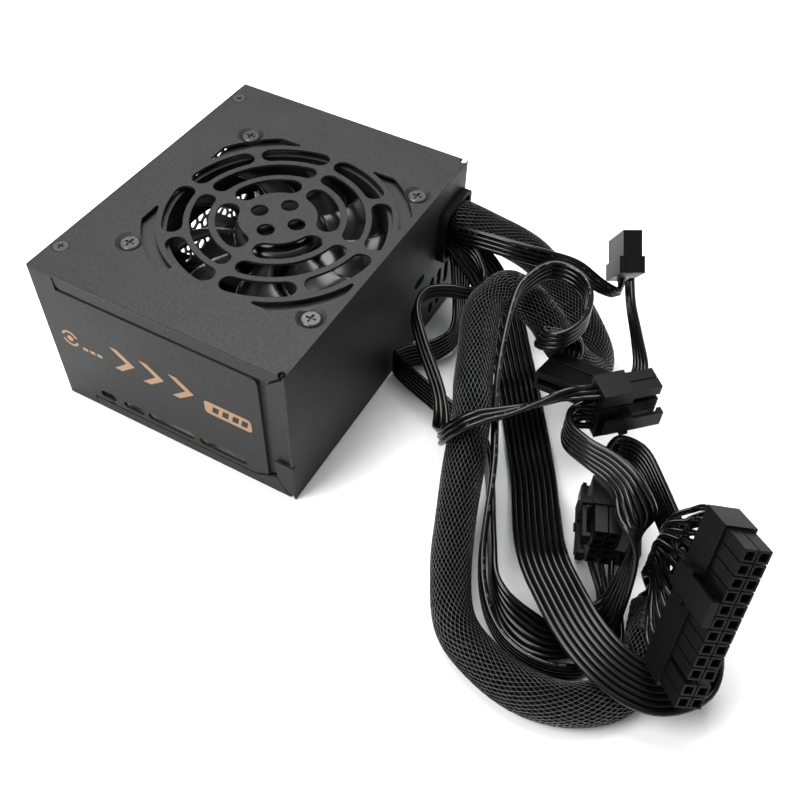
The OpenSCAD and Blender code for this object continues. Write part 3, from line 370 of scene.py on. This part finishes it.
PCIE_ROUTE = [
    ((0.0475, 0.0495, 0.0334), (0, 1, 0)), ((0.0542, 0.0495, 0.0327), (0, 1, 0)),
    ((0.06, 0.043, 0.025), (0.3, 0.7, -0.6)), ((0.066, 0.029, 0.012), (0.1, 0.2, -1)),
    ((0.063, 0.02, 0.0075), (0, 0, -1)), ((0.053, 0.008, 0.0072), (0, 0, -1)),
    ((0.056, 0.003, 0.0072), (0, 0, -1)), ((0.091, -0.01, 0.0072), (0, 0, -1)),
    ((0.103, -0.02, 0.0072), (0, 0, -1)), ((0.118, -0.049, 0.0072), (0, 0, -1)),
    ((0.125, -0.062, 0.0072), (0, 0, -1)), ((0.134, -0.0695, 0.0065), (0.1, -0.6, -0.8)),
    ((0.145, -0.0715, 0.0055), (0.2, -0.9, -0.2)), ((0.153, -0.067, 0.005), (0.7, -0.6, 0)),
    ((0.158, -0.06, 0.007), (0.75, -0.6, 0)), ((0.161, -0.054, 0.013), (0.5, -0.85, 0)),
    ((0.16, -0.044, 0.035), (0.2, -0.95, -0.3)), ((0.154, -0.037, 0.0438), (-0.1, -0.6, -0.8)),
    ((0.146, -0.031, 0.045), (0, -0.2, -1)), ((0.136, -0.028, 0.0445), (0, 0, -1)),
    ((0.128, -0.023, 0.0428), (0, 0, -1)), ((0.126, -0.015, 0.0415), (0, 0, -1)),
    ((0.131, -0.01, 0.0413), (0, 0, -1)),
]

SENSE_ROUTE = [
    ((0.0475, 0.04575, 0.041), (0, 0, 1)), ((0.056, 0.0458, 0.0398), (0, 0, 1)),
    ((0.065, 0.044, 0.0368), (0, 0, 1)), ((0.0715, 0.037, 0.033), (0.1, 0.1, 1)),
    ((0.0705, 0.029, 0.033), (0, 0, 1)), ((0.063, 0.025, 0.034), (0, 0, 1)),
    ((0.0566, 0.0196, 0.034), (0, 0, 1)), ((0.0566, 0.011, 0.033), (0.2, 0.2, 1)),
    ((0.0636, 0.002, 0.0296), (0.3, 0.2, 0.9)), ((0.077, -0.0106, 0.024), (0.6, 0, 0.7)),
    ((0.083, -0.019, 0.022), (0.75, -0.4, 0.3)), ((0.087, -0.0276, 0.023), (0.6, -0.7, 0)),
    ((0.0896, -0.033, 0.028), (0.5, -0.8, -0.1)), ((0.0934, -0.0344, 0.0356), (0.5, -0.8, -0.2)),
    ((0.0996, -0.0306, 0.0414), (0.5, -0.8, -0.1)), ((0.107, -0.0256, 0.0435), (0.5, -0.7, 0.3)),
    ((0.1156, -0.02, 0.047), (0.3, -0.4, 0.8)), ((0.124, -0.014, 0.0512), (0, 0, 1)),
    ((0.1306, -0.0102, 0.0516), (0, 0, 1)),
]

DRIVE_ROUTE = [
    ((0.0475, 0.0432, 0.0429), (0, 0, 1)), ((0.056, 0.043, 0.0449), (0, 0, 1)),
    ((0.068, 0.0418, 0.0475), (0, 0, 1)), ((0.08, 0.042, 0.0483), (0, 0, 1)),
    ((0.092, 0.045, 0.047), (0, 0, 1)), ((0.102, 0.05, 0.043), (0, -0.1, 1)),
    ((0.112, 0.052, 0.0375), (0.1, -0.3, 0.95)), ((0.1184, 0.054, 0.0356), (0.2, -0.5, 0.85)),
    ((0.1186, 0.0563, 0.0386), (0.29, -0.58, 0.76)),
]

LINK_ROUTE = [
    ((0.1216, 0.0502, 0.0466), (0.29, -0.58, 0.76)), ((0.1256, 0.0442, 0.041), (0.29, -0.58, 0.76)),
    ((0.132, 0.0376, 0.033), (0.4, -0.5, 0.75)), ((0.137, 0.031, 0.0266), (0.6, -0.4, 0.7)),
    ((0.1364, 0.0244, 0.023), (0.8, -0.3, 0.5)), ((0.1306, 0.0224, 0.025), (0.95, -0.1, 0.2)),
    ((0.1266, 0.0204, 0.0282), (1, -0.1, 0.1)), ((0.1256, 0.0159, 0.0294), (1, -0.1, 0.1)),
]

TAIL_ROUTE = [
    ((0.1138, 0.0176, 0.0309), (1, -0.1, 0.1)), ((0.1136, 0.0215, 0.033), (1, 0, 0.1)),
    ((0.1115, 0.0205, 0.0385), (0.9, 0.2, 0.3)), ((0.1065, 0.0135, 0.0435), (0.6, 0.2, 0.7)),
    ((0.106, 0.0065, 0.048), (0.1, 0, 0.9)), ((0.112, 0.0055, 0.0508), (0, 0, 1)),
    ((0.116, 0.013, 0.052), (0, 0, 1)), ((0.1155, 0.023, 0.052), (0, 0, 1)),
    ((0.111, 0.032, 0.052), (0, 0, 1)), ((0.104, 0.036, 0.052), (0, 0, 1)),
    ((0.097, 0.035, 0.052), (0, 0, 1)), ((0.0925, 0.028, 0.051), (0, 0, 1)),
    ((0.091, 0.017, 0.048), (0, 0, 1)), ((0.0985, -0.011, 0.04), (0, 0, 1)),
    ((0.11, -0.036, 0.029), (0, 0, 1)), ((0.118, -0.058, 0.014), (0, 0, 1)),
    ((0.1255, -0.07, 0.008), (0, 0, 1)), ((0.134, -0.077, 0.0056), (0, 0, 1)),
    ((0.143, -0.08, 0.0056), (0, 0, 1)), ((0.152, -0.0795, 0.0058), (0, 0, 1)),
    ((0.16, -0.075, 0.0048), (0.4, 0.4, 0.8)), ((0.1645, -0.067, 0.0028), (0.8, 0.4, 0.3)),
    ((0.164, -0.058, 0.002), (1, 0, 0)), ((0.153, -0.035, 0.0056), (0.95, 0.3, 0)),
]


def smoothstep(t):
    t = min(max(t, 0.0), 1.0)
    return t * t * (3 - 2 * t)


class Connector:
    """A connector's own axes: r along the rows, a across them, n out of the mating face."""

    def __init__(self, face, row, out, depth):
        self.n = Vector(out).normalized()
        row = Vector(row)
        self.r = (row - row.dot(self.n) * self.n).normalized()
        self.a = self.n.cross(self.r)
        self.face = Vector(face)
        self.depth = depth

    def entry(self, x, y):
        """Where a wire ends, just inside the back of the housing."""
        return self.face + x * self.r + y * self.a - (self.depth - 1.5 * MM) * self.n


MAIN = Connector((0.1887, -0.069, 0.0496), (0.03, -0.49, -0.87), (0.55, -0.72, 0.42), SHELL_LENGTH)
CPU = Connector((0.1516, -0.046, 0.027), (0, 0, -1), (0.35, -0.93, 0), SHELL_LENGTH)
GRAPHICS = Connector((0.1456, 0.004, 0.046), (0, 0, -1), (0.72, 0.69, 0), SHELL_LENGTH)
DRIVE_1 = Connector((0.1134, 0.0638, 0.0536), (0.29, -0.58, 0.76), (-0.38, 0.66, 0.64), 15 * MM)
DRIVE_2 = Connector((0.119, 0.0012, 0.0334), (1, 0.12, 0.05), (-0.1, -0.95, 0.22), 15 * MM)
PERIPHERAL = Connector((0.1455, -0.0112, 0.0056), (0.95, 0.3, 0), (-0.3, 0.95, 0), 24 * MM)


# ---------- cables ----------

def wire_offsets(wires):
    return [(i - (wires - 1) / 2) * WIRE_PITCH for i in range(wires)]


def flat_cable(name, route, wires, end, fan=12 * MM):
    """Fused wires side by side. end is (connector, entry points), where the wires spread out."""
    connector, entries = end
    kept = smooth_path([p for p, across in route])
    line = [p for u, p in kept]
    across = []
    for (u, p), t in zip(kept, tangents(line)):
        i = min(int(u), len(route) - 2)
        blend = Vector(route[i][1]).normalized().lerp(Vector(route[i + 1][1]).normalized(), u - i)
        across.append((blend - blend.dot(t) * t).normalized())
    run = [0.0]
    for a, b in zip(line, line[1:]):
        run.append(run[-1] + (b - a).length)
    total = run[-1]
    parts, uvs = [], []
    sides = 10
    for i, offset in enumerate(wire_offsets(wires)):
        own = []
        for p, a, s in zip(line, across, run):
            q = p + offset * a
            if total - s < fan:
                q = q.lerp(entries[i] - (total - s) * connector.n, smoothstep(1 - (total - s) / fan))
            own.append(q)
        verts, faces = tube(own, WIRE_R, sides, across[0])
        parts.append((verts, faces))
        uvs += [(s / (2.4 * MM), i - wires + 1 + k / sides) for s in run for k in range(sides)]
    verts, faces = gather(parts)
    obj = piece(name, verts, faces, JACKET, uvs=uvs)
    return obj, line, total


def spread(connector, places):
    return connector, [connector.entry(x, y) for x, y in places]


def two_rows(columns):
    half = TERMINAL_PITCH / 2
    return [(x, y) for x in columns for y in (-half, half)]


def declare(node_name):
    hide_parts(node_name)


def braided_sleeve():
    """The woven tube over the main cable: two families of filaments ripple its surface."""
    kept = smooth_path(ATX_ROUTE, 0.5 * MM)
    line = [p for u, p in kept]
    cells, cell, sides = 30, 1.4 * MM, 150
    verts, uvs = [], []
    side = Vector((0, 1, 0))
    run = 0.0
    for i, (p, t) in enumerate(zip(line, tangents(line))):
        run += (p - line[i - 1]).length if i else 0.0
        side = (side - side.dot(t) * t).normalized()
        up = t.cross(side)
        slack = 0.12 * MM * math.sin(run / (11 * MM)) + 0.08 * MM * math.sin(run / (4.3 * MM))
        for k in range(sides + 1):
            a = 2 * math.pi * k / sides
            u, v = cells * k / sides, run / cell / 2
            ripple = max(math.sin(2 * math.pi * (u + v)), math.sin(2 * math.pi * (u - v)))
            radius = SLEEVE_R + slack + 0.2 * MM * ripple + 0.1 * MM * math.sin(3 * a + run / (17 * MM))
            verts.append(p + radius * (math.cos(a) * side + math.sin(a) * up))
            uvs.append((u, v))
    ring = sides + 1
    faces = [(i * ring + k, i * ring + k + 1, (i + 1) * ring + k + 1, (i + 1) * ring + k)
             for i in range(len(line) - 1) for k in range(sides)]
    obj = piece("braided_sleeve", verts, faces, SLEEVE, uvs=uvs)
    return obj, line, length_of(line)


def sleeve_band(line):
    """Shrunk tube over the last stretch of the sleeve."""
    tail = [p for p in line if (p - line[-1]).length < 11 * MM]
    verts, faces = [], []
    rings = []
    last = len(tail) - 1
    for i, p in enumerate(tail):
        swell = 0.35 * MM * (1 + 0.25 * math.sin(i * 1.3)) * min(1, i / 2)
        rings.append((p, SLEEVE_R + swell))
    rings.append((tail[last] + 0.8 * MM * (tail[last] - tail[last - 1]).normalized(), SLEEVE_R - 0.5 * MM))
    rings.append((tail[last] + 0.8 * MM * (tail[last] - tail[last - 1]).normalized(), SLEEVE_R - 2 * MM))
    path = [p for p, r in rings[:-1]] + [rings[-1][0]]
    side = Vector((0, 0, 1))
    around = 40
    ways = tangents([p for p, r in rings[:-1]]) + [(tail[last] - tail[last - 1]).normalized()]
    for (p, r), t in zip(rings, ways):
        side = (side - side.dot(t) * t).normalized()
        up = t.cross(side)
        for k in range(around):
            a = 2 * math.pi * k / around
            verts.append(p + r * (math.cos(a) * side + math.sin(a) * up))
    faces = [(i * around + k, i * around + (k + 1) % around, (i + 1) * around + (k + 1) % around,
              (i + 1) * around + k) for i in range(len(path) - 1) for k in range(around)]
    return piece("sleeve_band", verts, faces, SHRINK)


def main_wires():
    """The 24 wires that leave the sleeve and spread out to the large connector."""
    start = Vector((-2, 10, 2)).normalized()
    end = Vector(ATX_ROUTE[-1])
    back = MAIN.face - MAIN.depth * MAIN.n
    stations = [(end - 3 * MM * start, start, 0), (end + 2 * MM * start, start, 0),
                (Vector((0.1703, -0.0385, 0.015)), None, 0.05),
                (Vector((0.1696, -0.0375, 0.026)), None, 0.25),
                (back - 8 * MM * MAIN.n, MAIN.n, 0.8), (back - 3 * MM * MAIN.n, MAIN.n, 1),
                (back + 1.5 * MM * MAIN.n, MAIN.n, 1)]
    centres = [p for p, t, w in stations]
    parts = []
    for column in range(12):
        x = (column - 5.5) * TERMINAL_PITCH + (TOWER_GAP if column > 9 else 0)
        u = (column - 5.5) / 5.8
        for sign in (-1, 1):
            y = sign * TERMINAL_PITCH / 2
            bundle_x = 4.6 * MM * u + rng.uniform(-0.3, 0.3) * MM
            bundle_y = sign * (0.9 + 3.2 * math.sqrt(1 - u * u)) * MM + rng.uniform(-0.3, 0.3) * MM
            points = []
            for (p, t, w), way in zip(stations, tangents(centres)):
                t = t or way
                a = (MAIN.r - MAIN.r.dot(t) * t).normalized()
                b = t.cross(a)
                loose = 0.8 * MM * (1 - abs(2 * w - 1))
                points.append(p + (bundle_x + (x - bundle_x) * w + rng.uniform(-1, 1) * loose) * a
                              + (bundle_y + (y - bundle_y) * w + rng.uniform(-1, 1) * loose) * b)
            line = [p for k, p in smooth_path(points, 1.6 * MM)]
            parts.append(tube(line, LOOSE_WIRE_R, 8))
    verts, faces = gather(parts)
    obj = piece("main_wires", verts, faces, JACKET, uvs=[(0.0, 0.0)] * len(verts))
    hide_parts("atx_wires")
    return obj


sleeve, sleeve_line, sleeve_length = braided_sleeve()
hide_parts("atx_cable")
main_parts = [main_wires(), sleeve_band(sleeve_line)]
main_parts += [nodes[n] for n in ("atx_shell_20", "atx_shell_4", "atx_latch", "terminals")]

inner = 0.65 * MM
cpu_columns = [s * (inner + k * TERMINAL_PITCH) for s, k in ((-1, 1.5), (-1, 0.5), (1, 0.5), (1, 1.5))]
cpu, line, total = flat_cable("cpu_ribbon", CPU_ROUTE, 8, end=spread(CPU, two_rows(cpu_columns)))
declare("cpu_cable")

graphics_columns = [x * MM for x in (0.5, 4.7, 8.9)]
pcie, line, total = flat_cable("graphics_ribbon", PCIE_ROUTE, 6,
                               end=spread(GRAPHICS, two_rows(graphics_columns)))
declare("pcie_cable")

side_column = -5.5 * MM
sense, line, total = flat_cable(
    "sense_ribbon", SENSE_ROUTE, 3, end=spread(GRAPHICS, [(side_column, y * MM) for y in (-2.1, 0, 2.1)]))
declare("sense_cable")

four = wire_offsets(4)
drive, line, total = flat_cable("drive_ribbon", DRIVE_ROUTE, 4, fan=5 * MM,
                                end=spread(DRIVE_1, [(-5 * MM - x, 0) for x in four]))
declare("drive_cable")

middle, line, total = flat_cable("link_ribbon", LINK_ROUTE, 4, fan=5 * MM,
                                 end=spread(DRIVE_2, [(5 * MM - x, 0) for x in four]))
declare("drive_link")

tail, line, total = flat_cable("tail_ribbon", TAIL_ROUTE, 4,
                               end=spread(PERIPHERAL, [((i - 1.5) * 3.9 * MM, 0) for i in range(4)]))
declare("drive_tail")


# ---------- fan rotor ----------

def rotor_detail():
    """A rounded hub and nine swept, twisted blades in place of the plain pitched plates."""
    low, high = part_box("fan_rotor")
    centre = Vector(((low[0] + high[0]) / 2, (low[1] + high[1]) / 2, 0))
    top = high[2]
    base = top - 13.6 * MM
    hub, tip = 16 * MM, 37.3 * MM
    profile = [(0, 13.6), (12.6, 13.6), (13.6, 13.4), (14.8, 12.9), (15.6, 12.1), (16, 11), (16, 2.6),
               (14.7, 2.6), (14.7, 12), (3, 12), (3, 10.4), (1.55, 10.4), (1.55, 12.4), (0, 12.4)]
    around = 96
    verts, faces = [], []
    for radius, height in profile:
        for k in range(around):
            a = 2 * math.pi * k / around
            verts.append(centre + Vector((radius * MM * math.cos(a), radius * MM * math.sin(a),
                                          base + height * MM)))
    for i in range(len(profile) - 1):
        for k in range(around):
            a, b = i * around + k, i * around + (k + 1) % around
            faces.append((a, a + around, b + around, b))
    parts = [(verts, faces)]
    stations, chord = 10, 12
    for blade in range(9):
        verts = []
        for i in range(stations):
            f = i / (stations - 1)
            radius = hub - 0.3 * MM + (tip - hub + 0.3 * MM) * f
            middle_angle = math.radians(40 * blade + 16 * f * f)
            width = math.radians(35 - 7 * f)
            rise = (8.6 - 2.2 * f) * MM
            for k in range(chord):
                c = k / (chord - 1) - 0.5
                angle = middle_angle + c * width
                height = base + 7.6 * MM + c * rise + 1.1 * MM * (0.25 - c * c) * 4
                thick = (0.25 + 0.5 * math.sqrt(max(0, 1 - 4 * c * c))) * MM
                for s in (-1, 1):
                    verts.append(centre + Vector((radius * math.cos(angle), radius * math.sin(angle),
                                                  height + s * thick)))
        faces = []
        ring = 2 * chord
        for i in range(stations - 1):
            for k in range(chord - 1):
                a = i * ring + 2 * k
                faces.append((a + 1, a + ring + 1, a + ring + 3, a + 3))
                faces.append((a, a + 2, a + ring + 2, a + ring))
            for a in (i * ring, i * ring + ring - 2):
                faces.append((a, a + 1, a + ring + 1, a + ring) if a == i * ring
                             else (a + 1, a, a + ring, a + ring + 1))
        for i in (0, stations - 1):
            loop = [i * ring + 2 * k for k in range(chord)]
            loop += [i * ring + 2 * k + 1 for k in range(chord)][::-1]
            faces.append(tuple(loop) if i else tuple(reversed(loop)))
        parts.append((verts, faces))
    verts, faces = gather(parts)
    obj = piece("rotor_detail", verts, faces, ROTOR, body="rotor")
    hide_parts("fan_rotor")


rotor_detail()


# ---------- printed marks ----------

def prism(outline, lift, thickness=0.05):
    """An (x, z) outline in mm, as a thin layer on the printed side wall."""
    wall = -62.5
    count = len(outline)
    verts = [Vector((x, wall + 0.02 - lift, z)) * MM for x, z in outline]
    verts += [Vector((x, wall - lift - thickness, z)) * MM for x, z in outline]
    faces = [tuple(range(count))[::-1], tuple(range(count, 2 * count))]
    faces += [(i, (i + 1) % count, count + (i + 1) % count, count + i) for i in range(count)]
    return verts, faces


def arc(x, z, radius, start, end, steps=24):
    return [(x + radius * math.cos(math.radians(start + (end - start) * k / steps)),
             z + radius * math.sin(math.radians(start + (end - start) * k / steps)))
            for k in range(steps + 1)]


def bar(x0, x1, z0, z1, lean=0.0):
    return [(x0, z0), (x1, z0), (x1 + lean, z1), (x0 + lean, z1)]


def printed_marks():
    """Plain marks: two arcs round a dot, three dashes, three chevrons and a filled panel."""
    parts = [prism(arc(-40.5, 33.5, 3.6, a, a + 140) + arc(-40.5, 33.5, 2.7, a + 140, a), 0)
             for a in (20, 200)]
    parts.append(prism(arc(-40.5, 33.5, 1.3, 0, 345, 23), 0))
    parts += [prism(bar(x, x + 2.2, 30.2, 31.6), 0) for x in (-35.5, -32.4, -29.3)]
    for x in (-22, -9.7, 2.6):
        parts.append(prism([(x, 28.5), (x + 3.2, 28.5), (x + 9.6, 33.7), (x + 3.2, 38.9), (x, 38.9),
                            (x + 6.2, 33.7)], 0))
    parts.append(prism(arc(33.4, 29.1, 1.5, -90, 0, 6) + arc(33.4, 32.4, 1.5, 0, 90, 6)
                       + arc(17.6, 32.4, 1.5, 90, 180, 6) + arc(17.6, 29.1, 1.5, 180, 270, 6), 0))
    verts, faces = gather(parts)
    piece("printed_marks", verts, faces, PRINT, smooth=False)
    cuts = [prism(bar(x, x + 2.4, 29.2, 32.3, 0.8), 0.06, 0.02) for x in (19, 23, 27, 31 - 0.4)]
    verts, faces = gather(cuts)
    piece("panel_gaps", verts, faces, STEEL, smooth=False)


printed_marks()


# ---------- floor and light ----------

def add_floor():
    size = 3.0
    mesh = bpy.data.meshes.new("floor")
    mesh.from_pydata([(-size, -size, 0), (size, -size, 0), (size, size, 0), (-size, size, 0)], [],
                     [(0, 1, 2, 3)])
    obj = bpy.data.objects.new("floor", mesh)
    bpy.context.collection.objects.link(obj)
    obj.location.z = -0.0002
    obj.data.materials.append(surface("floor", grey(0.9), grey(0.93), 0.8, 3.0, 0.01, cloud=4))


def add_light(name, place, target, size, power):
    data = bpy.data.lights.new(name, "AREA")
    data.shape = "DISK"
    data.size = size
    data.energy = power
    light = bpy.data.objects.new(name, data)
    light.location = place
    light.rotation_euler = (Vector(target) - Vector(place)).to_track_quat("-Z", "Y").to_euler()
    bpy.context.collection.objects.link(light)


def add_world(strength):
    world = bpy.data.worlds.new("studio")
    world.use_nodes = True
    backdrop = world.node_tree.nodes["Background"]
    backdrop.inputs["Color"].default_value = (1, 1, 1, 1)
    backdrop.inputs["Strength"].default_value = strength
    bpy.context.scene.world = world


add_floor()
middle_of_part = (0.07, 0, 0.03)
add_light("key", (-0.35, -0.55, 0.85), middle_of_part, 0.6, 12)
add_light("top", (-0.2, 0.3, 0.95), middle_of_part, 0.8, 15)
add_light("rim", (0.75, 0.35, 0.4), middle_of_part, 0.4, 0.8)
add_world(0.36)
# Keeps the black finishes black and the floor pale; the default transform lifts them to grey.
bpy.context.scene.view_settings.view_transform = "Standard"
